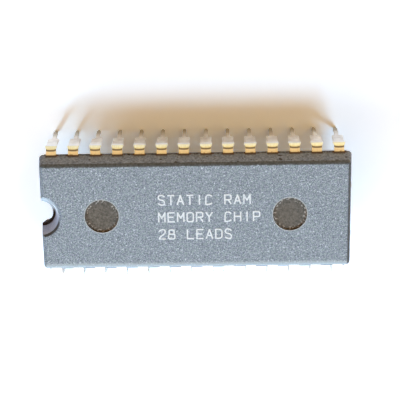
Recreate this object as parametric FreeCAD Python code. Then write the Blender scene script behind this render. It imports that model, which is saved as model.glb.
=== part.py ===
import FreeCAD, Part
import math
import os

# Static memory chip in a plastic dual in-line package with 28 leads. Millimetres, +Z up.
# It stands on its lead tips: the origin lies below the middle of the body, in the tips' plane.
# X runs along the body, with the index notch at -X, and Y runs across it.
# Lead 1 is at -X, -Y. The count runs along the -Y row to +X and back along the +Y row.

# Lead rows
leads_per_row = 14
lead_pitch = 2.54
row_spacing = 15.24
lead_thickness = 0.25
shoulder_width = 1.17
leg_wide_width = 1.25
leg_narrow_width = 0.48
leg_corner_chamfer = 0.14
tip_width = 0.24
tip_taper_length = 0.55
lead_below_seating = 3.0
bend_inner_radius = 0.35
splay_angle = 6.0
dam_stub_width = 1.42
dam_stub_start_angle = 34.0
dam_stub_length = 0.3

# Leads are delivered spread: their bends stand out of the row spacing by this much on each side
bend_set_out = 0.14

# Moulded body
end_distance = 1.44
body_width = 13.7
upper_height = 2.1
lower_height = 2.0
standoff = 0.65
side_draft = 18.0
end_draft = 6.5
edge_radius = 0.45
flash_lip_reach = 0.07
flash_lip_overrun = 0.25

# Index notch: the cone of the upper mould half is the wider one, so a narrow ledge stays
notch_radius = 1.6
notch_ledge = 0.3
notch_draft = 17.0
notch_lower_draft = 6.0

# Ejector-pin marks in the top and the underside
pin_mark_spacing = 21.6
pin_mark_diameter = 3.9
pin_mark_depth = 0.25

# Lead frame inside the moulding
anchor_depth = 0.95
neck_length = 0.35
finger_width = 0.5
finger_tip_width = 0.34
finger_tip_run = 0.75
fingers_per_end = 4
paddle_length = 8.2
paddle_width = 5.4
paddle_gap = 0.45
paddle_downset = 0.3
downset_run = 0.45
strap_width = 0.7
strap_gap = 0.15
strap_length = 10.0
tie_bar_width = 0.6
tie_bar_spacing = 5.8
tie_bar_slant = 1.6
tie_bar_reach = 0.03

# Chip and bond wires
die_length = 6.6
die_width = 4.4
die_thickness = 0.4
attach_thickness = 0.04
attach_margin = 0.1
wire_diameter = 0.035
wire_loop_height = 0.22
wire_landing = 0.14
pad_inset = 0.15
finger_bond_inset = 0.3

# Distance below which two levels count as the same
coincidence = 1e-6

# Levels and places that follow from the sizes above
seating_z = lead_below_seating
parting_z = seating_z + standoff + lower_height
frame_top_z = parting_z + lead_thickness
body_top_z = parting_z + upper_height
body_bottom_z = parting_z - lower_height
body_length = (leads_per_row - 1) * lead_pitch + 2 * end_distance
bend_outer_radius = bend_inner_radius + lead_thickness
bend_start_y = (row_spacing + lead_thickness) / 2 + bend_set_out - bend_outer_radius
bend_axis_z = parting_z - bend_inner_radius
bend_sweep = 90.0 - splay_angle
paddle_z = parting_z - paddle_downset
die_bottom_z = paddle_z + lead_thickness + attach_thickness
die_top_z = die_bottom_z + die_thickness
fingers_per_side = leads_per_row - 2 * fingers_per_end


def vector(x, y, z=0.0):
    return FreeCAD.Vector(x, y, z)


def prism(points, sweep):
    """Solid made by sweeping a closed polygon."""
    return Part.Face(Part.makePolygon(points + points[:1])).extrude(sweep)


def box(x_size, y_size, z_size, x_middle, y_middle, z_low):
    """Box given by its size, its middle in plan and its underside."""
    corner = vector(x_middle - x_size / 2, y_middle - y_size / 2, z_low)
    return Part.makeBox(x_size, y_size, z_size, corner)


def strip_outline(path, widths):
    """Mitred outline of a flat strip that follows a path of (a, b) pairs."""
    left, right = [], []
    last = len(path) - 1
    for index, (a, b) in enumerate(path):
        before = path[max(index - 1, 0)]
        after = path[min(index + 1, last)]
        come = vector(a - before[0], b - before[1])
        leave = vector(after[0] - a, after[1] - b)
        come = come.normalize() if index > 0 else leave.normalize()
        leave = leave.normalize() if index < last else come
        along = (come + leave).normalize()
        reach = widths[index] / 2 / along.dot(come)
        left.append((a - along.y * reach, b + along.x * reach))
        right.append((a + along.y * reach, b - along.x * reach))
    return left + right[::-1]


def flat_strip(path, widths, z_low):
    """Strip of lead-frame metal that lies flat."""
    points = [vector(a, b, z_low) for a, b in strip_outline(path, widths)]
    return prism(points, vector(0, 0, lead_thickness))


def mould_half(height, direction):
    """Drafted block above (direction 1) or below (-1) the parting plane."""
    x, y = body_length / 2, body_width / 2
    far_x = x - height * math.tan(math.radians(end_draft))
    far_y = y - height * math.tan(math.radians(side_draft))
    block = Part.makeWedge(-x, 0, -y, -far_y, -far_x, x, height, y, far_y, far_x)
    block.rotate(vector(0, 0), vector(1, 0), 90 * direction)
    block.translate(vector(0, 0, parting_z))
    return block


def notch_cone(start_radius, height, direction, draft):
    """Half-round index notch of one mould half, drafted from the parting plane."""
    far_radius = start_radius + height * math.tan(math.radians(draft))
    foot = vector(-body_length / 2, 0, parting_z)
    return Part.makeCone(start_radius, far_radius, height, foot, vector(0, 0, direction))


def round_half(block, height, flat_z):
    """Rounds the four corners of a mould half together with the rim of its flat face."""
    edges = []
    for edge in block.Edges:
        limits = edge.BoundBox
        on_rim = max(abs(limits.ZMin - flat_z), abs(limits.ZMax - flat_z)) < coincidence
        on_corner = limits.ZLength > height / 2 and abs(edge.CenterOfMass.y) > body_width / 4
        if on_rim or on_corner:
            edges.append(edge)
    return block.makeFillet(edge_radius, edges)


def pin_mark(side, z_low):
    """Disc that an ejector pin presses into a face of the moulding."""
    foot = vector(side * pin_mark_spacing / 2, 0, z_low)
    return Part.makeCylinder(pin_mark_diameter / 2, pin_mark_depth, foot)


def flash_lip(side):
    """Low ridge of resin that stays between the shoulders where it met the dam bar."""
    length = (leads_per_row - 1) * lead_pitch + shoulder_width + 2 * flash_lip_overrun
    reach = flash_lip_reach + anchor_depth / 2
    y_middle = side * (body_width / 2 + flash_lip_reach - reach / 2)
    return box(length, reach, lead_thickness, 0, y_middle, parting_z)


def package_body(contents):
    """The moulding, with a space that fits everything cast into it."""
    upper = mould_half(upper_height, 1).cut(notch_cone(notch_radius, upper_height, 1, notch_draft))
    upper = round_half(upper, upper_height, body_top_z)
    lower = round_half(mould_half(lower_height, -1), lower_height, body_bottom_z)
    lower = lower.cut(notch_cone(notch_radius - notch_ledge, lower_height, -1, notch_lower_draft))
    body = upper.fuse([lower, flash_lip(-1), flash_lip(1)]).removeSplitter()
    marks = []
    for side in (-1, 1):
        marks.append(pin_mark(side, body_top_z - pin_mark_depth))
        marks.append(pin_mark(side, body_bottom_z))
    return body.cut(marks + contents)


def lead_x(place):
    """Place of a lead along its row, counted from -X."""
    return (place - (leads_per_row - 1) / 2) * lead_pitch


def finger_tip(place):
    """Tip of an inner finger in the +Y row, and the direction in which the finger leaves it."""
    from_end = min(place, leads_per_row - 1 - place)
    if from_end >= fingers_per_end:
        step = paddle_length / fingers_per_side
        x = (place - (leads_per_row - 1) / 2) * step
        return (x, paddle_width / 2 + paddle_gap), (0, 1)
    side = -1 if place < leads_per_row / 2 else 1
    step = (paddle_width - strap_width - 2 * strap_gap) / 2 / fingers_per_end
    y = strap_width / 2 + strap_gap + (from_end + 0.5) * step
    return (side * (paddle_length / 2 + paddle_gap), y), (side, 0)


def bent_part(width, start_angle, end_angle, row):
    """Stretch of the bend between two angles, for a strip of the given width."""
    start = vector(-width / 2, 0, bend_inner_radius)
    corners = [start, start + vector(width, 0, 0)]
    corners += [corners[1] + vector(0, 0, lead_thickness), start + vector(0, 0, lead_thickness)]
    section = Part.Face(Part.makePolygon(corners + corners[:1]))
    section.rotate(vector(0, 0), vector(-row, 0), start_angle)
    bend = section.revolve(vector(0, 0), vector(-row, 0), end_angle - start_angle)
    bend.translate(vector(0, row * bend_start_y, bend_axis_z))
    return bend


def flared_bend(row):
    """Rest of the bend, which flares in plan from the shoulder's width to that of the cut dam bar."""
    bend = bent_part(dam_stub_width, dam_stub_start_angle, bend_sweep, row)
    start_y = bend_start_y + bend_inner_radius * math.sin(math.radians(dam_stub_start_angle))
    end_y = bend_start_y + bend_outer_radius
    narrow, wide = shoulder_width / 2, dam_stub_width / 2
    plan = [(-narrow, start_y), (narrow, start_y), (wide, end_y), (-wide, end_y)]
    points = [vector(x, row * y, bend_axis_z) for x, y in plan]
    return bend.common(prism(points, vector(0, 0, bend_outer_radius)))


def leg(row):
    """Leg below the bend, cut out flat and then turned to the splay angle."""
    splay = math.radians(splay_angle)
    top_z = bend_axis_z + bend_inner_radius * math.sin(splay)
    length = top_z / math.cos(splay)
    wide_length = (top_z - seating_z) / math.cos(splay)
    stub, wide = dam_stub_width / 2, leg_wide_width / 2
    narrow, tip = leg_narrow_width / 2, tip_width / 2
    side = [(stub, 0), (stub, dam_stub_length), (wide, dam_stub_length)]
    side += [(wide, wide_length - leg_corner_chamfer), (wide - leg_corner_chamfer, wide_length)]
    side += [(narrow, wide_length), (narrow, length - tip_taper_length), (tip, length)]
    outline = side + [(-x, down) for x, down in side[::-1]]
    points = [vector(x, row * bend_inner_radius, -down) for x, down in outline]
    solid = prism(points, vector(0, row * lead_thickness, 0))
    solid.rotate(vector(0, 0), vector(row, 0), splay_angle)
    solid.translate(vector(0, row * bend_start_y, bend_axis_z))
    return solid


def lead(place, row):
    """One lead of the row at +Y (row 1) or -Y (row -1): finger, shoulder, bend and leg."""
    x = lead_x(place)
    tip, leave = finger_tip(place)
    tip_root = (tip[0] + leave[0] * finger_tip_run, tip[1] + leave[1] * finger_tip_run)
    anchor_y = body_width / 2 - anchor_depth
    path = [(x, bend_start_y), (x, anchor_y), (x, anchor_y - neck_length), tip_root, tip]
    widths = [shoulder_width, shoulder_width, finger_width, finger_tip_width, finger_tip_width]
    flat = flat_strip([(a, row * b) for a, b in path], widths, parting_z)
    bend = bent_part(shoulder_width, 0.0, dam_stub_start_angle, row)
    rest = [bend, flared_bend(row), leg(row)]
    for piece in rest:
        piece.translate(vector(x, 0, 0))
    return flat.fuse(rest)


def tie_bar(end, side):
    """Strip from the middle strap to the end wall, beside the notch."""
    fork_x = paddle_length / 2 + strap_length
    y = side * tie_bar_spacing / 2
    wall_x = body_length / 2 + tie_bar_reach
    path = [(end * fork_x, 0), (end * (fork_x + tie_bar_slant), y), (end * wall_x, y)]
    return flat_strip(path, [tie_bar_width] * len(path), parting_z)


def strap(end):
    """Middle strap that climbs from the paddle to the level of the fingers."""
    start = paddle_length / 2
    rise_end = start + downset_run
    fork_x = start + strap_length
    under = [(start, paddle_z), (rise_end, parting_z), (fork_x, parting_z)]
    section = under + [(x, z + lead_thickness) for x, z in under[::-1]]
    points = [vector(end * x, -strap_width / 2, z) for x, z in section]
    return prism(points, vector(0, strap_width, 0))


def die_paddle():
    """Set-down plate with its straps and tie bars, one stamped piece."""
    plate = box(paddle_length, paddle_width, lead_thickness, 0, 0, paddle_z)
    arms = []
    for end in (-1, 1):
        arms.append(strap(end))
        arms += [tie_bar(end, side) for side in (-1, 1)]
    return plate.fuse(arms).removeSplitter()


def die_attach():
    """Layer of adhesive, a little larger than the chip."""
    length = die_length + 2 * attach_margin
    width = die_width + 2 * attach_margin
    return box(length, width, attach_thickness, 0, 0, paddle_z + lead_thickness)


def memory_die():
    return box(die_length, die_width, die_thickness, 0, 0, die_bottom_z)


def bond_wire(place, row):
    """Wire that rises from a pad on the chip and comes down on the finger."""
    tip, leave = finger_tip(place)
    landing = vector(tip[0] + leave[0] * finger_bond_inset, row * (tip[1] + leave[1] * finger_bond_inset))
    if leave[0]:
        pad = vector(leave[0] * (die_length / 2 - pad_inset), row * tip[1] * die_width / paddle_width)
    else:
        pad = vector(tip[0] * die_length / paddle_length, row * (die_width / 2 - pad_inset))
    along = landing - pad
    span = along.Length
    along.normalize()
    across = vector(-along.y, along.x)
    loop_z = die_top_z + wire_loop_height
    touch_z = frame_top_z + wire_diameter / 2
    path = [(0, die_top_z), (0, loop_z), (span - wire_landing, touch_z), (span, touch_z)]
    start = pad - across * (wire_diameter / 2)
    outline = strip_outline(path, [wire_diameter] * len(path))
    points = [start + along * reach + vector(0, 0, z) for reach, z in outline]
    return prism(points, across * wire_diameter)


def lead_number(place, row):
    return place + 1 if row < 0 else 2 * leads_per_row - place


def build():
    parts = {"die_paddle": die_paddle(), "die_attach": die_attach(), "memory_die": memory_die()}
    for row in (-1, 1):
        for place in range(leads_per_row):
            number = lead_number(place, row)
            parts[f"lead_{number:02d}"] = lead(place, row)
            parts[f"bond_wire_{number:02d}"] = bond_wire(place, row)
    parts["package_body"] = package_body(list(parts.values()))
    return parts


os.makedirs("parts", exist_ok=True)
for name, shape in build().items():
    shape.exportStep(f"parts/{name}.step")
    print(name, len(shape.Solids), shape.isValid(), round(shape.Volume, 4))
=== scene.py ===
import math

import bpy
from mathutils import Euler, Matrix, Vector


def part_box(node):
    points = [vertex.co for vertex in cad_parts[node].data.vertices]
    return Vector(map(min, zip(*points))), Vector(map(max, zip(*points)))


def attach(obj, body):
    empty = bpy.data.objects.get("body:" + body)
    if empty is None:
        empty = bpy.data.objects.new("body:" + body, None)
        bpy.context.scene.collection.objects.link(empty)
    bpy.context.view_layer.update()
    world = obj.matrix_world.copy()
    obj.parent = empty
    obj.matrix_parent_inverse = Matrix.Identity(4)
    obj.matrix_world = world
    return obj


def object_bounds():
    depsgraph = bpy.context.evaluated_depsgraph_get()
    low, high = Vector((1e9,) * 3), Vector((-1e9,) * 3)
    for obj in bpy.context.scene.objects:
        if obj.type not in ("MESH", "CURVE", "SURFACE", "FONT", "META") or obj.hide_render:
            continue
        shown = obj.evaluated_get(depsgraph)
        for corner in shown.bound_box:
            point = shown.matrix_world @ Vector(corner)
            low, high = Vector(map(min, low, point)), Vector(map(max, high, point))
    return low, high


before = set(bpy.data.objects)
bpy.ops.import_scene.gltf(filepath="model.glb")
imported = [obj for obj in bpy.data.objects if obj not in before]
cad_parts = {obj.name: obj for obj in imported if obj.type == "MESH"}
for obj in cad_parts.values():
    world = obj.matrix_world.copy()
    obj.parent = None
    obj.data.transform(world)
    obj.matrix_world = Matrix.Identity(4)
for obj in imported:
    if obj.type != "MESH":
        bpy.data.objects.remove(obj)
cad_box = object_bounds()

# Static memory chip. Metres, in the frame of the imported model: +Z up, index notch at -X.
MM = 0.001
PER_METRE = 1000.0

# Camera: turned from straight down, then moved right, up and back from the middle of the moulding
CAMERA_TILT = -16.06
CAMERA_YAW = 0.73
CAMERA_ROLL = -0.97
CAMERA_OFFSET_MM = (0.467, 1.173, 139.62)
CAMERA_LENS = 108.05
CAMERA_CLIP = (0.001, 20)

# Softboxes that look at the object: azimuth from -Y and elevation in degrees, width and height in metres,
# and what each adds to a white floor. The two strong cool ones cast the main shadows, the rest fill.
LAMPS = {
    "softbox_left": (-36.0, 22.7, 0.11, 0.168, (0.085, 0.17, 0.24)),
    "softbox_right": (40.0, 44.8, 0.23, 0.085, (0.21, 0.32, 0.415)),
    "front_fill": (-24.3, 30.5, 0.39, 0.335, (0.22, 0.18, 0.148)),
    "side_fill": (-72.7, 25.8, 0.11, 0.071, (0.065, 0.079, 0.089)),
    "back_fill": (136.6, 11.7, 0.345, 0.05, (0.1, 0.069, 0.028)),
}
LAMP_DISTANCE = 0.45

# Room: what lights the object, and what metal and gloss reflect in it, low down, overhead and in front. The
# spans are heights and depths of the reflected direction, in which one colour gives way to the next.
ROOM_LIGHT = (0.285, 0.165, 0.078, 1)
ROOM_HORIZON = (0.96, 0.98, 1.0, 1)
ROOM_MIDDLE = (0.92, 0.8, 0.5, 1)
ROOM_ZENITH = (1.12, 0.76, 0.32, 1)
ROOM_FRONT = (0.8, 0.8, 0.83, 1)
HORIZON_TO_MIDDLE = (0.1, 0.72)
MIDDLE_TO_ZENITH = (0.68, 1.0)
FRONT_FROM = (-0.26, -0.36)
WHITE = (1.0, 1.0, 1.0, 1)

# Floor: what lights the object from below, what the camera and mirrors see, and where it fades out
FLOOR_SIZE = 6.0
FLOOR_PAPER = (0.8, 0.8, 0.8, 1)
FLOOR_SEEN = (1.43, 1.56, 1.75, 1)
FLOOR_MIRRORED = (1.16, 1.24, 1.37, 1)
FLOOR_FADE = (0.05, 0.09)

# Places on the moulding, in millimetres
body_low, body_high = (corner * PER_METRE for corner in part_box("package_body"))
BODY_MIDDLE_Z = (body_low.z + body_high.z) / 2
BODY_HALF_HEIGHT = (body_high.z - body_low.z) / 2
PARTING_Z = 5.65
SIDE_Y = 6.85
TOP_EDGE_Y = 5.84
NOTCH_LEDGE_RADIUS = 1.6
NOTCH_WALL_RADIUS = 2.75
MARK_X = 10.8
MARK_RADIUS = 1.95

# How level a face of the moulding is, 1 for flat and 0 for upright, while each kind of surface comes in
LEVEL_FLAT = (0.975, 0.998)
LEVEL_ROUNDED = (0.46, 0.64)
LEVEL_STILL_ROUNDED = (0.995, 0.93)
LEVEL_STEEP = (0.62, 0.42)
LEVEL_MARK_WALL = (0.6, 0.4)

# How far a face looks along x or y while it comes to count as facing that way
FACES_BACK = (0.06, 0.26)
FACES_FRONT = (-0.1, -0.4)
FACES_RIGHT = (0.12, 0.3)
FACES_LEFT = (-0.15, -0.4)
FACES_END = (-0.7, -0.9)
LEAD_FACES_BACK = (0.3, 0.7)
LEAD_FACES_ASIDE = (0.5, 0.8)

# Places on a lead, in millimetres. Finishes change over from the first height to the second.
LEAD_PITCH = 2.54
BEND_START_Y = 7.285
GOLD_TO_HIGHLIGHT_Z = (5.53, 5.44)
HIGHLIGHT_TO_LEG_Z = (5.06, 4.92)
LEG_TO_PIN_Z = (2.8, 0.7)
# Legs towards the ends take painted light, the ones in the middle painted shade
LIT_LEGS_X = (8.0, 12.0)
DARK_REFLECTION_ABOVE_Z = (5.2, 5.4)
FRONT_BEND_Z = (4.9, 5.1)
BACK_ROW_Y = (-0.1, 0.1)

# Noise values between which a colour runs from its dark to its pale end
MOTTLE = (0.3, 0.7)
GRAIN = (0.33, 0.67)
FINE_GRAIN = (0.35, 0.65)

# Roughness and gloss
ROUGH_SIDES = 0.5
ROUGH_FROST = 0.65
ROUGH_SMOOTH = 0.4
GLOSS = 0.35
LEDGE_GLOSS = 0.02
ROUGH_LEADS = (0.42, 0.58)
ROUGH_INK = 0.6

# Flecks in the frosted top: noise scale, values between which they come in, strength, display colour
FLECKS = {
    # Painted glints
    "glint": (8.5, 0.64, 0.74, 0.75, (212, 223, 234)),
    # Painted shade in tiny hollows
    "shaded_hollow": (7.3, 0.36, 0.27, 0.6, (92, 100, 110)),
    "dot": (4.4, 0.72, 0.77, 0.8, (226, 234, 242)),
}

# Pieces sealed in the moulding: material, two display colours, noise scale, metallic, roughness
INNER_FINISHES = {
    "die_paddle": ("frame_metal", (196, 190, 180), (214, 209, 200), 1.5, 1.0, 0.35),
    "die_attach": ("adhesive", (170, 170, 166), (190, 190, 186), 6.0, 0.3, 0.5),
    "memory_die": ("silicon", (78, 84, 104), (104, 98, 122), 2.5, 0.6, 0.2),
    "bond_wire_": ("wire_gold", (226, 178, 92), (240, 200, 120), 8.0, 1.0, 0.25),
}

# Marking: three rows of plain words in single-stroke letters
MARKING_ROWS = ("STATIC RAM", "MEMORY CHIP", "28 LEADS")
MARKING_START_X = -4.26
MARKING_FIRST_Y = 1.3
MARKING_ROW_STEP = 2.05
MARKING_PITCH = 1.087
LETTER_HEIGHT = 1.08
LETTER_WIDTH = 0.71
STROKE_WIDTH = 0.17
STROKE_THICKNESS = 0.006

# Letters on a grid. A straight stroke is a list of points, a curved one starts with "curve".
GRID_WIDTH = 4
GRID_HEIGHT = 6
STROKES = {
    "A": [[(0, 0), (2, 6), (4, 0)], [(0.7, 2), (3.3, 2)]],
    "C": [["curve", (4, 5), (3.2, 6), (0, 6.2), (0, 0), (0, -0.2), (3.2, 0), (4, 1)]],
    "D": [[(0, 0), (0, 6), (1.6, 6)], [(0, 0), (1.6, 0)],
          ["curve", (1.6, 6), (4, 6), (4, 3), (4, 0), (1.6, 0)]],
    "E": [[(4, 6), (0, 6), (0, 0), (4, 0)], [(0, 3.1), (3.2, 3.1)]],
    "H": [[(0, 0), (0, 6)], [(4, 0), (4, 6)], [(0, 3.1), (4, 3.1)]],
    "I": [[(2, 0), (2, 6)]],
    "L": [[(0, 6), (0, 0), (4, 0)]],
    "M": [[(0, 0), (0, 6), (2, 2.4), (4, 6), (4, 0)]],
    "O": [["curve", (2, 6), (0, 6), (0, 3), (0, 0), (2, 0), (4, 0), (4, 3), (4, 6), (2, 6)]],
    "P": [[(0, 0), (0, 6), (2.2, 6)], [(0, 2.8), (2.2, 2.8)],
          ["curve", (2.2, 6), (4, 6), (4, 4.4), (4, 2.8), (2.2, 2.8)]],
    "R": [[(0, 0), (0, 6), (2.2, 6)], [(0, 2.8), (2.2, 2.8), (4, 0)],
          ["curve", (2.2, 6), (4, 6), (4, 4.4), (4, 2.8), (2.2, 2.8)]],
    "S": [["curve", (4, 5), (3.4, 6), (0.2, 6.4), (0, 3.4), (4, 2.8), (4, -0.4), (0.6, 0), (0, 1)]],
    "T": [[(0, 6), (4, 6)], [(2, 6), (2, 0)]],
    "Y": [[(0, 6), (2, 3), (4, 6)], [(2, 3), (2, 0)]],
    "2": [["curve", (0, 4.8), (0.4, 6), (4, 6.4), (4, 3.6), (0.6, 1.6), (0, 0)], [(0, 0), (4, 0)]],
    "8": [["curve", (2, 6), (0.4, 6), (0.4, 4.6), (0.4, 3.2), (2, 3.2), (3.6, 3.2), (3.6, 4.6),
           (3.6, 6), (2, 6)],
          ["curve", (2, 3.2), (0, 3.2), (0, 1.6), (0, 0), (2, 0), (4, 0), (4, 1.6), (4, 3.2), (2, 3.2)]],
}


def srgb(red, green, blue):
    """Linear colour of a colour given as 0 to 255 display values."""
    def linear(value):
        share = value / 255
        return share / 12.92 if share <= 0.04045 else ((share + 0.055) / 1.055) ** 2.4
    return (linear(red), linear(green), linear(blue), 1.0)


def put(tree, socket, value):
    """Sets a socket to a value, or links it to another node's output."""
    if isinstance(value, bpy.types.NodeSocket):
        tree.links.new(value, socket)
    else:
        socket.default_value = value


def add(tree, kind, values=(), **settings):
    """Adds a node, and fills its inputs by name or number."""
    node = tree.nodes.new(kind)
    for name, value in settings.items():
        setattr(node, name, value)
    for key, value in dict(values).items():
        put(tree, node.inputs[key], value)
    return node


def maths(tree, operation, *values):
    return add(tree, "ShaderNodeMath", enumerate(values), operation=operation).outputs[0]


def times(tree, product, *factors):
    """Product of values. Of masks, it is where all of them are."""
    for factor in factors:
        product = maths(tree, "MULTIPLY", product, factor)
    return product


def either(tree, first, second):
    """The larger of two values. Of masks, it is where at least one of them is."""
    return maths(tree, "MAXIMUM", first, second)


def outside(tree, mask):
    return maths(tree, "SUBTRACT", 1.0, mask)


def absolute(tree, value):
    return maths(tree, "ABSOLUTE", value)


def step(tree, value, low, high):
    """Runs smoothly from 0 at low to 1 at high, also where high is the lower number."""
    values = {"Value": value, "From Min": low, "From Max": high}
    node = add(tree, "ShaderNodeMapRange", values, interpolation_type="SMOOTHSTEP")
    return node.outputs["Result"]


def band(tree, value, low, high, soft):
    """1 between low and high, with soft edges."""
    rise = step(tree, value, low - soft, low + soft)
    return times(tree, rise, step(tree, value, high + soft, high - soft))


def blend(tree, factor, first, second):
    """Mixes two colours."""
    return add(tree, "ShaderNodeMix", {0: factor, 6: first, 7: second}, data_type="RGBA").outputs[2]


def blend_value(tree, factor, first, second):
    """Mixes two numbers."""
    return add(tree, "ShaderNodeMix", {0: factor, 2: first, 3: second}, data_type="FLOAT").outputs[0]


def paint(tree, base, mask, strength, over):
    """Lays one colour over another where the mask is."""
    return blend(tree, times(tree, mask, strength), base, over)


def ramp(tree, value, span, dark, pale):
    """Runs straight from one display colour to another while the value runs through the span."""
    values = {"Value": value, "From Min": span[0], "From Max": span[1]}
    share = add(tree, "ShaderNodeMapRange", values).outputs["Result"]
    return blend(tree, share, srgb(*dark), srgb(*pale))


def noise(tree, place, scale, detail=2.0, stretch=(1.0, 1.0, 1.0)):
    """Noise with features of about 1 / scale millimetres."""
    mapped = add(tree, "ShaderNodeVectorMath", {0: place, 1: stretch}, operation="MULTIPLY").outputs[0]
    values = {"Vector": mapped, "Scale": scale, "Detail": detail}
    return add(tree, "ShaderNodeTexNoise", values).outputs["Fac"]


def bump(tree, height, strength, distance_mm):
    values = {"Height": height, "Strength": strength, "Distance": distance_mm * MM}
    return add(tree, "ShaderNodeBump", values).outputs["Normal"]


def split(tree, vector):
    return add(tree, "ShaderNodeSeparateXYZ", {0: vector}).outputs


def distance(tree, across, along):
    squares = maths(tree, "ADD", maths(tree, "POWER", across, 2.0), maths(tree, "POWER", along, 2.0))
    return maths(tree, "SQRT", squares)


def from_lead_axis(tree, x):
    """Distance from the middle of the nearest lead, in millimetres."""
    half = LEAD_PITCH / 2
    return maths(tree, "SUBTRACT", half, maths(tree, "PINGPONG", x, half))


def new_material(name):
    """Material with its shader, the place on the object in millimetres, and the surface normal."""
    material = bpy.data.materials.new(name)
    material.use_nodes = True
    tree = material.node_tree
    shader = tree.nodes["Principled BSDF"]
    coordinates = add(tree, "ShaderNodeTexCoord")
    scaled = {0: coordinates.outputs["Object"], "Scale": PER_METRE}
    place = add(tree, "ShaderNodeVectorMath", scaled, operation="SCALE").outputs[0]
    return material, tree, shader, place, coordinates.outputs["Normal"]


class Spot:
    """Where a point of the moulding lies, in millimetres, and which way and how level it faces."""

    def __init__(self, tree, place, normal):
        self.place = place
        self.x, self.y, self.z = split(tree, place)
        self.normal_x, self.normal_y, normal_z = split(tree, normal)
        self.level = absolute(tree, normal_z)
        self.from_middle = absolute(tree, maths(tree, "SUBTRACT", self.z, BODY_MIDDLE_Z))
        self.outermost = step(tree, self.from_middle, BODY_HALF_HEIGHT - 0.06, BODY_HALF_HEIGHT - 0.01)


def rim_masks(tree, spot):
    """Frosted flats, and the rounded rims: painted shade at the back and the right, painted highlight at
    the front.
    """
    wobble = times(tree, maths(tree, "SUBTRACT", noise(tree, spot.place, 3.8), 0.5), 0.3)
    wavy_y = maths(tree, "ADD", spot.y, wobble)
    flat = times(tree, step(tree, spot.level, *LEVEL_FLAT), spot.outermost)
    rounded = step(tree, spot.level, *LEVEL_ROUNDED)
    rounded = times(tree, rounded, step(tree, spot.level, *LEVEL_STILL_ROUNDED))
    shaded = either(tree, step(tree, spot.normal_y, *FACES_BACK), step(tree, spot.normal_x, *FACES_RIGHT))
    # Painted shade along the back edge of the top, painted highlight along its front edge
    far_edge = times(tree, spot.outermost, step(tree, wavy_y, TOP_EDGE_Y - 0.1, TOP_EDGE_Y + 0.02))
    near_edge = times(tree, spot.outermost, step(tree, wavy_y, 0.3 - TOP_EDGE_Y, -TOP_EDGE_Y))
    near_rim = times(tree, rounded, step(tree, spot.normal_y, *FACES_FRONT))
    return {
        "rim": either(tree, times(tree, rounded, shaded), far_edge),
        "left_rim": times(tree, rounded, step(tree, spot.normal_x, *FACES_LEFT)),
        "front_rim_highlight": either(tree, near_rim, near_edge),
        "frosted": either(tree, flat, times(tree, rounded, outside(tree, shaded))),
    }


def notch_masks(tree, spot, rim):
    """Rim, wall and ledge of the index notch: painted shade on the rim and the ledge, painted highlight on
    the far half of the wall and the ledge.
    """
    from_notch = distance(tree, maths(tree, "SUBTRACT", spot.x, body_low.x), spot.y)
    around = step(tree, from_notch, NOTCH_WALL_RADIUS + 0.1, NOTCH_WALL_RADIUS)
    upper = step(tree, spot.z, PARTING_Z + 0.01, PARTING_Z + 0.03)
    steep = step(tree, spot.level, *LEVEL_STEEP)
    near_end = step(tree, spot.x, body_low.x + 0.55, body_low.x + 0.4)
    end_face = times(tree, near_end, step(tree, spot.normal_x, *FACES_END))
    wall = times(tree, around, upper, steep, outside(tree, end_face))
    inside = step(tree, from_notch, NOTCH_LEDGE_RADIUS + 0.04, NOTCH_LEDGE_RADIUS)
    ledge = times(tree, inside, step(tree, spot.z, PARTING_Z + 0.03, PARTING_Z + 0.01))
    return {
        "wall": wall,
        "far_wall_highlight": times(tree, wall, step(tree, spot.y, -0.2, 0.7)),
        "notch_rim": times(tree, around, rim),
        "ledge": ledge,
        "far_ledge_highlight": times(tree, ledge, step(tree, spot.y, 0.0, 0.7)),
    }


def pin_mark_masks(tree, spot):
    """Sunk floor of the ejector-pin marks, the edge of that floor, their wall in painted shade and the lip
    round them.
    """
    from_mark = distance(tree, maths(tree, "SUBTRACT", absolute(tree, spot.x), MARK_X), spot.y)
    within = step(tree, from_mark, MARK_RADIUS + 0.06, MARK_RADIUS + 0.02)
    sunk = step(tree, spot.from_middle, BODY_HALF_HEIGHT - 0.02, BODY_HALF_HEIGHT - 0.05)
    mark = times(tree, within, sunk)
    lip = band(tree, from_mark, MARK_RADIUS, MARK_RADIUS + 0.1, 0.04)
    return {
        "mark": mark,
        "mark_wall_shade": times(tree, mark, step(tree, spot.level, *LEVEL_MARK_WALL)),
        "mark_edge": band(tree, from_mark, MARK_RADIUS - 0.36, MARK_RADIUS - 0.04, 0.1),
        "lip": times(tree, lip, spot.outermost),
    }


def lead_side_masks(tree, spot):
    """Parting line in painted shade at the back, painted highlight along the front side, painted shade and
    resin stains by the leads.
    """
    aside = from_lead_axis(tree, spot.x)
    seam = band(tree, spot.z, PARTING_Z - 0.1, PARTING_Z + 0.1, 0.04)
    behind = times(tree, step(tree, aside, 0.7, 0.6), step(tree, spot.y, SIDE_Y - 0.25, SIDE_Y - 0.15))
    beside = band(tree, aside, 0.5, 0.85, 0.12)
    beside = times(tree, beside, step(tree, spot.y, SIDE_Y - 0.19, SIDE_Y - 0.11))
    spots = step(tree, noise(tree, spot.place, 3.1), 0.46, 0.56)
    return {
        "seam": times(tree, seam, step(tree, spot.y, SIDE_Y - 0.15, SIDE_Y - 0.05)),
        "front_side_highlight": step(tree, spot.y, 0.03 - SIDE_Y, -0.03 - SIDE_Y),
        "behind_lead": times(tree, behind, step(tree, spot.z, PARTING_Z + 0.8, PARTING_Z + 0.4)),
        "beside_lead": times(tree, beside, step(tree, spot.z, PARTING_Z + 0.42, PARTING_Z + 0.26), spots),
    }


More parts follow.
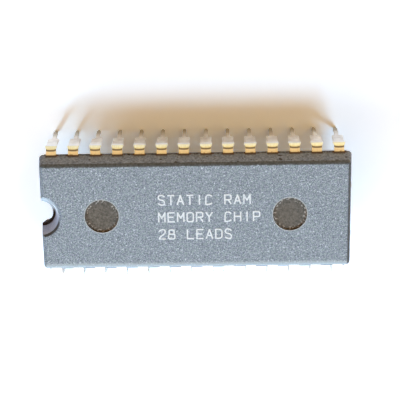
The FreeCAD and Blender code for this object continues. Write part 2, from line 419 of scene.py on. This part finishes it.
def frosted_finish(tree, place, grain):
    """Grey-blue frost in two tints, with its flecks: painted glints, painted shade in tiny hollows and pale
    dots.
    """
    cool = ramp(tree, grain, GRAIN, (97, 110, 117), (180, 194, 199))
    violet = ramp(tree, grain, GRAIN, (99, 107, 121), (182, 189, 205))
    tint = step(tree, noise(tree, place, 3.6, 1.0), 0.38, 0.62)
    colour = blend(tree, tint, cool, violet)
    for scale, low, high, strength, fleck in FLECKS.values():
        mask = step(tree, noise(tree, place, scale, 0.0), low, high)
        colour = paint(tree, colour, mask, strength, srgb(*fleck))
    return colour


def pin_mark_finish(tree, place, mottle, edge):
    """Smooth brown floor of a pin mark, with pale specks that crowd along its edge."""
    specks = step(tree, noise(tree, place, 4.0, 1.0), 0.54, 0.62)
    crowding = maths(tree, "ADD", times(tree, edge, 0.8), 0.08)
    plain = ramp(tree, mottle, MOTTLE, (80, 77, 71), (117, 110, 102))
    return paint(tree, plain, specks, crowding, srgb(205, 198, 190))


def moulding_colour(tree, place, masks, grain, coarse):
    """The moulding's colour: its sides first, then coat by coat what lies over them."""
    mottle = noise(tree, place, 4.2)
    # Small pits in the sides, darkened as painted shade
    shaded_pits = step(tree, noise(tree, place, 1.8, 0.0), 0.755, 0.785)
    side = ramp(tree, mottle, MOTTLE, (86, 95, 112), (143, 154, 175))
    side = paint(tree, side, shaded_pits, 0.85, srgb(40, 34, 30))
    colour = blend(tree, masks["frosted"], side, frosted_finish(tree, place, grain))
    coats = (
        # Painted highlight on the front rims and the front edge of the top
        ("front_rim_highlight", 0.6, srgb(202, 212, 216)),
        ("left_rim", 0.3, srgb(70, 72, 70)),
        ("wall", 0.9, ramp(tree, grain, FINE_GRAIN, (158, 163, 188), (188, 193, 212))),
        # Painted highlight on the far half of the notch wall
        ("far_wall_highlight", 0.8, srgb(226, 234, 242)),
        # Painted shade on the rims facing back and right, and along the back edge of the top
        ("rim", 0.9, ramp(tree, mottle, MOTTLE, (66, 68, 68), (86, 89, 90))),
        # Painted shade on the notch rim
        ("notch_rim", 0.85, ramp(tree, coarse, FINE_GRAIN, (52, 30, 32), (58, 62, 64))),
        # Painted shade on the notch ledge, with a painted highlight on its far half
        ("ledge", 0.95, srgb(58, 48, 40)),
        ("far_ledge_highlight", 0.9, srgb(216, 224, 232)),
        ("mark", 1.0, pin_mark_finish(tree, place, mottle, masks["mark_edge"])),
        # Painted shade on the wall of the pin marks
        ("mark_wall_shade", 1.0, srgb(46, 27, 18)),
        ("lip", 0.6, srgb(206, 208, 206)),
        # Parting line at the back, darkened as painted shade
        ("seam", 0.85, srgb(58, 44, 32)),
        # Painted shade on the moulding behind each lead
        ("behind_lead", 0.8, srgb(60, 42, 24)),
        # Painted highlight along the front side at the parting line
        ("front_side_highlight", 0.9, srgb(226, 230, 232)),
        # Resin stains and painted shade beside the leads, in blotches
        ("beside_lead", 0.85, srgb(92, 58, 30)),
    )
    for mask, strength, coat in coats:
        colour = paint(tree, colour, masks[mask], strength, coat)
    return colour


def moulding_material():
    """Dark epoxy: frosted grey-blue on top, smooth dark pin marks, smooth rims and ledge in painted shade
    and highlight.
    """
    material, tree, shader, place, normal = new_material("moulding")
    spot = Spot(tree, place, normal)
    masks = rim_masks(tree, spot)
    masks.update(notch_masks(tree, spot, masks["rim"]))
    masks.update(pin_mark_masks(tree, spot))
    masks.update(lead_side_masks(tree, spot))

    coarse = noise(tree, place, 5.4)
    fine = noise(tree, place, 11.0, 1.0)
    grain = maths(tree, "ADD", times(tree, coarse, 0.5), times(tree, fine, 0.5))
    put(tree, shader.inputs["Base Color"], moulding_colour(tree, place, masks, grain, coarse))

    rough = blend_value(tree, masks["frosted"], ROUGH_SIDES, ROUGH_FROST)
    rough = blend_value(tree, masks["rim"], rough, ROUGH_SMOOTH)
    put(tree, shader.inputs["Roughness"], blend_value(tree, masks["mark"], rough, ROUGH_SMOOTH))
    put(tree, shader.inputs["Specular IOR Level"], blend_value(tree, masks["ledge"], GLOSS, LEDGE_GLOSS))
    relief = maths(tree, "ADD", times(tree, masks["frosted"], 0.8), 0.2)
    put(tree, shader.inputs["Normal"], bump(tree, times(tree, grain, relief), 0.7, 0.03))
    return material


def back_row_colour(tree, x, reach, z, streaks, mottle):
    """Down a lead of the back row: gold shoulder and bend, painted highlight band, silver leg and pin
    partly in painted shade.
    """
    shoulder = ramp(tree, streaks, MOTTLE, (254, 234, 198), (255, 245, 218))
    bend = ramp(tree, streaks, MOTTLE, (228, 220, 184), (238, 234, 206))
    # Painted highlight band below the bend
    highlight_band = ramp(tree, mottle, MOTTLE, (236, 236, 238), (250, 250, 250))
    # Legs in the middle in painted shade, legs near the ends in painted light
    shaded_leg = ramp(tree, mottle, MOTTLE, (212, 208, 204), (236, 234, 230))
    lit_leg = ramp(tree, mottle, MOTTLE, (228, 225, 222), (251, 250, 248))
    leg = blend(tree, step(tree, absolute(tree, x), *LIT_LEGS_X), shaded_leg, lit_leg)
    # Pin darker towards the tip as painted shade
    pin = ramp(tree, mottle, MOTTLE, (172, 163, 146), (194, 186, 170))

    colour = blend(tree, step(tree, reach, BEND_START_Y + 0.14, BEND_START_Y + 0.22), shoulder, bend)
    colour = blend(tree, step(tree, z, *GOLD_TO_HIGHLIGHT_Z), colour, highlight_band)
    colour = blend(tree, step(tree, z, *HIGHLIGHT_TO_LEG_Z), colour, leg)
    return blend(tree, step(tree, z, *LEG_TO_PIN_Z), colour, pin)


def front_row_colour(tree, normal, z, mottle):
    """Leads of the front row: greyer outside as painted shade, painted highlights on the bend, the sides
    and the inner faces.
    """
    normal_x, normal_y, _ = split(tree, normal)
    outer = ramp(tree, mottle, MOTTLE, (176, 173, 169), (202, 199, 195))
    sideways = step(tree, absolute(tree, normal_x), *LEAD_FACES_ASIDE)
    inward = either(tree, step(tree, normal_y, *LEAD_FACES_BACK), sideways)
    painted_light_faces = either(tree, inward, step(tree, z, *FRONT_BEND_Z))
    return blend(tree, painted_light_faces, outer, srgb(252, 249, 242))


def bend_dark_reflection(tree, aside, reach, z):
    """Painted dark reflection across the start of the bend, which curls outwards at both ends, with painted
    shade at those ends.
    """
    curl = times(tree, maths(tree, "POWER", aside, 3.0), 0.4)
    from_dark_line = maths(tree, "SUBTRACT", maths(tree, "SUBTRACT", reach, BEND_START_Y + 0.1), curl)
    line = band(tree, from_dark_line, -0.1, 0.1, 0.04)
    ends = band(tree, reach, BEND_START_Y + 0.12, BEND_START_Y + 0.3, 0.04)
    ends = times(tree, step(tree, aside, 0.57, 0.63), ends)
    return times(tree, either(tree, line, ends), step(tree, z, *DARK_REFLECTION_ABOVE_Z))


def root_shade_and_stain(tree, place, reach):
    """Painted shade where a lead leaves the moulding as an even line, and resin stains and painted shade in
    blotches just outside it.
    """
    blotches = step(tree, noise(tree, place, 2.6), 0.52, 0.62)
    blotches = times(tree, blotches, step(tree, reach, SIDE_Y + 0.14, SIDE_Y + 0.02), 0.7)
    line = times(tree, step(tree, reach, SIDE_Y + 0.05, SIDE_Y - 0.02), 0.9)
    return either(tree, blotches, line)


def lead_material():
    """Plated lead: pale gold on the shoulder and the bend, silver on the leg, resin stains at the root,
    painted light and shade on both rows.
    """
    material, tree, shader, place, normal = new_material("lead_finish")
    x, y, z = split(tree, place)
    reach = absolute(tree, y)
    streaks = noise(tree, place, 3.0, 3.0, (3.0, 0.6, 0.6))
    mottle = noise(tree, place, 1.3, 3.0)
    back_row = step(tree, y, *BACK_ROW_Y)

    back = back_row_colour(tree, x, reach, z, streaks, mottle)
    dark_reflection = bend_dark_reflection(tree, from_lead_axis(tree, x), reach, z)
    colour = blend(tree, back_row, front_row_colour(tree, normal, z, mottle), back)
    # Painted dark reflection and shade at the bend, on the back row only
    colour = paint(tree, colour, times(tree, dark_reflection, back_row), 0.85, srgb(88, 76, 68))
    # Painted shade and stains at the root, on the back row only
    colour = paint(tree, colour, root_shade_and_stain(tree, place, reach), back_row, srgb(88, 55, 25))
    put(tree, shader.inputs["Base Color"], colour)
    shader.inputs["Metallic"].default_value = 1.0
    put(tree, shader.inputs["Roughness"], blend_value(tree, mottle, *ROUGH_LEADS))
    put(tree, shader.inputs["Normal"], bump(tree, streaks, 0.25, 0.02))
    return material


def inner_material(name, first, second, scale, metallic, roughness):
    """Mottled finish for the pieces sealed inside the moulding."""
    material, tree, shader, place, _ = new_material(name)
    mottle = noise(tree, place, scale, 3.0)
    put(tree, shader.inputs["Base Color"], blend(tree, mottle, srgb(*first), srgb(*second)))
    shader.inputs["Metallic"].default_value = metallic
    shader.inputs["Roughness"].default_value = roughness
    put(tree, shader.inputs["Normal"], bump(tree, mottle, 0.2, 0.01))
    return material


def ink_material():
    """Pale ink that the grain of the moulding breaks up a little."""
    material, tree, shader, place, _ = new_material("marking_ink")
    wear = step(tree, noise(tree, place, 6.0), 0.25, 0.5)
    put(tree, shader.inputs["Base Color"], blend(tree, wear, srgb(206, 216, 224), srgb(242, 246, 250)))
    shader.inputs["Roughness"].default_value = ROUGH_INK
    put(tree, shader.inputs["Normal"], bump(tree, wear, 0.3, 0.01))
    return material


def dress_frame():
    """Gives every CAD node its finish."""
    finishes = {"package_body": moulding_material(), "lead_": lead_material()}
    for start, settings in INNER_FINISHES.items():
        finishes[start] = inner_material(*settings)
    for name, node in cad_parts.items():
        finish = next(material for start, material in finishes.items() if name.startswith(start))
        node.data.materials.clear()
        node.data.materials.append(finish)


def add_spline(curve, kind, places):
    spline = curve.splines.new(kind)
    spline.points.add(len(places) - 1)
    for point, place in zip(spline.points, places):
        point.co = (place.x * MM, place.y * MM, 0, 1)
    return spline


def add_stroke(curve, stroke, corner):
    """Adds one stroke of a letter. A straight one is made of pieces that overlap a little at its bends."""
    curved = stroke[0] == "curve"
    size = Vector((LETTER_WIDTH / GRID_WIDTH, LETTER_HEIGHT / GRID_HEIGHT))
    places = [corner + Vector(point) * size for point in (stroke[1:] if curved else stroke)]
    if curved:
        spline = add_spline(curve, "NURBS", places)
        spline.order_u = 3
        spline.use_endpoint_u = True
        spline.resolution_u = 6
        return
    for start, end in zip(places, places[1:]):
        overlap = (end - start).normalized() * STROKE_WIDTH / 4
        add_spline(curve, "POLY", [start - overlap, end + overlap])


def marking():
    """Rows of letters: round strokes pressed flat onto the top of the moulding."""
    curve = bpy.data.curves.new("marking", "CURVE")
    curve.dimensions = "3D"
    curve.bevel_depth = STROKE_WIDTH / 2 * MM
    curve.bevel_resolution = 2
    curve.use_fill_caps = True
    for row, words in enumerate(MARKING_ROWS):
        foot = MARKING_FIRST_Y - row * MARKING_ROW_STEP
        for place, letter in enumerate(words):
            for stroke in STROKES.get(letter, ()):
                add_stroke(curve, stroke, Vector((MARKING_START_X + place * MARKING_PITCH, foot)))
    draft = bpy.data.objects.new("marking_draft", curve)
    mesh = bpy.data.meshes.new_from_object(draft)
    bpy.data.objects.remove(draft)
    flatten = STROKE_THICKNESS / (STROKE_WIDTH / 2)
    for vertex in mesh.vertices:
        vertex.co.z = body_high.z * MM + vertex.co.z * flatten
    mesh.materials.append(ink_material())
    piece = bpy.data.objects.new("top_marking", mesh)
    bpy.context.collection.objects.link(piece)
    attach(piece, "root")


def floor_material():
    """Pale paper that the camera and gloss see brighter, so that it is white where a lamp reaches it. For
    the camera it fades into the white backdrop far from the object, and is clear from below."""
    material = bpy.data.materials.new("floor")
    material.use_nodes = True
    tree = material.node_tree
    tree.nodes.clear()
    rays = add(tree, "ShaderNodeLightPath").outputs
    seen = rays["Is Camera Ray"]
    colour = blend(tree, rays["Is Glossy Ray"], FLOOR_PAPER, FLOOR_MIRRORED)
    colour = blend(tree, seen, colour, FLOOR_SEEN)
    paper = add(tree, "ShaderNodeBsdfDiffuse", {"Color": colour}).outputs[0]
    backdrop = add(tree, "ShaderNodeEmission", {"Color": WHITE, "Strength": 1.0}).outputs[0]
    clear = add(tree, "ShaderNodeBsdfTransparent").outputs[0]
    across, along, _ = split(tree, add(tree, "ShaderNodeTexCoord").outputs["Object"])
    far = times(tree, step(tree, distance(tree, across, along), *FLOOR_FADE), seen)
    below = times(tree, add(tree, "ShaderNodeNewGeometry").outputs["Backfacing"], seen)
    paper = add(tree, "ShaderNodeMixShader", {0: far, 1: paper, 2: backdrop}).outputs[0]
    paper = add(tree, "ShaderNodeMixShader", {0: below, 1: paper, 2: clear}).outputs[0]
    add(tree, "ShaderNodeOutputMaterial", {"Surface": paper})
    return material


def floor():
    """Large floor under the lead tips."""
    bpy.ops.mesh.primitive_plane_add(size=FLOOR_SIZE, location=(0, 0, cad_box[0].z))
    plane = bpy.context.object
    plane.name = "floor"
    plane.data.materials.append(floor_material())


def room():
    """Warm light from all round. Gloss reflects a brighter room, pale low down and warm overhead."""
    world = bpy.data.worlds.new("room")
    world.use_nodes = True
    bpy.context.scene.world = world
    tree = world.node_tree
    tree.nodes.clear()
    direction = add(tree, "ShaderNodeTexCoord").outputs["Generated"]
    _, along, height = split(tree, direction)
    low = blend(tree, step(tree, height, *HORIZON_TO_MIDDLE), ROOM_HORIZON, ROOM_MIDDLE)
    high = blend(tree, step(tree, height, *MIDDLE_TO_ZENITH), low, ROOM_ZENITH)
    reflected = blend(tree, step(tree, along, *FRONT_FROM), high, ROOM_FRONT)
    rays = add(tree, "ShaderNodeLightPath").outputs
    colour = blend(tree, rays["Is Glossy Ray"], ROOM_LIGHT, reflected)
    colour = blend(tree, rays["Is Camera Ray"], colour, WHITE)
    background = add(tree, "ShaderNodeBackground", {"Color": colour, "Strength": 1.0}).outputs[0]
    add(tree, "ShaderNodeOutputWorld", {"Surface": background})


def softbox(name, azimuth, elevation, width, height, level):
    """Upright lamp that looks at the middle of the object, and adds its level to a white floor there."""
    rise, turn = math.radians(elevation), math.radians(azimuth)
    light = bpy.data.lights.new(name, "AREA")
    light.shape = "RECTANGLE"
    light.size = width
    light.size_y = height
    light.color = level
    light.energy = math.pi ** 2 * LAMP_DISTANCE ** 2 / math.sin(rise)
    lamp = bpy.data.objects.new(name, light)
    across = math.cos(rise)
    to_lamp = Vector((math.sin(turn) * across, -math.cos(turn) * across, math.sin(rise)))
    lamp.location = to_lamp * LAMP_DISTANCE
    lamp.rotation_euler = to_lamp.to_track_quat("Z", "Y").to_euler()
    bpy.context.collection.objects.link(lamp)


def camera():
    data = bpy.data.cameras.new("camera")
    data.lens = CAMERA_LENS
    data.clip_start, data.clip_end = CAMERA_CLIP
    view = bpy.data.objects.new("camera", data)
    angles = [math.radians(angle) for angle in (CAMERA_TILT, CAMERA_YAW, CAMERA_ROLL)]
    turn = Euler(angles, "ZXY").to_matrix()
    view.rotation_euler = turn.to_euler()
    view.location = Vector((0, 0, PARTING_Z * MM)) + turn @ (Vector(CAMERA_OFFSET_MM) * MM)
    bpy.context.collection.objects.link(view)
    bpy.context.scene.camera = view


dress_frame()
marking()
floor()
room()
for lamp_name, lamp_settings in LAMPS.items():
    softbox(lamp_name, *lamp_settings)
camera()
bpy.context.scene.view_settings.view_transform = "Standard"
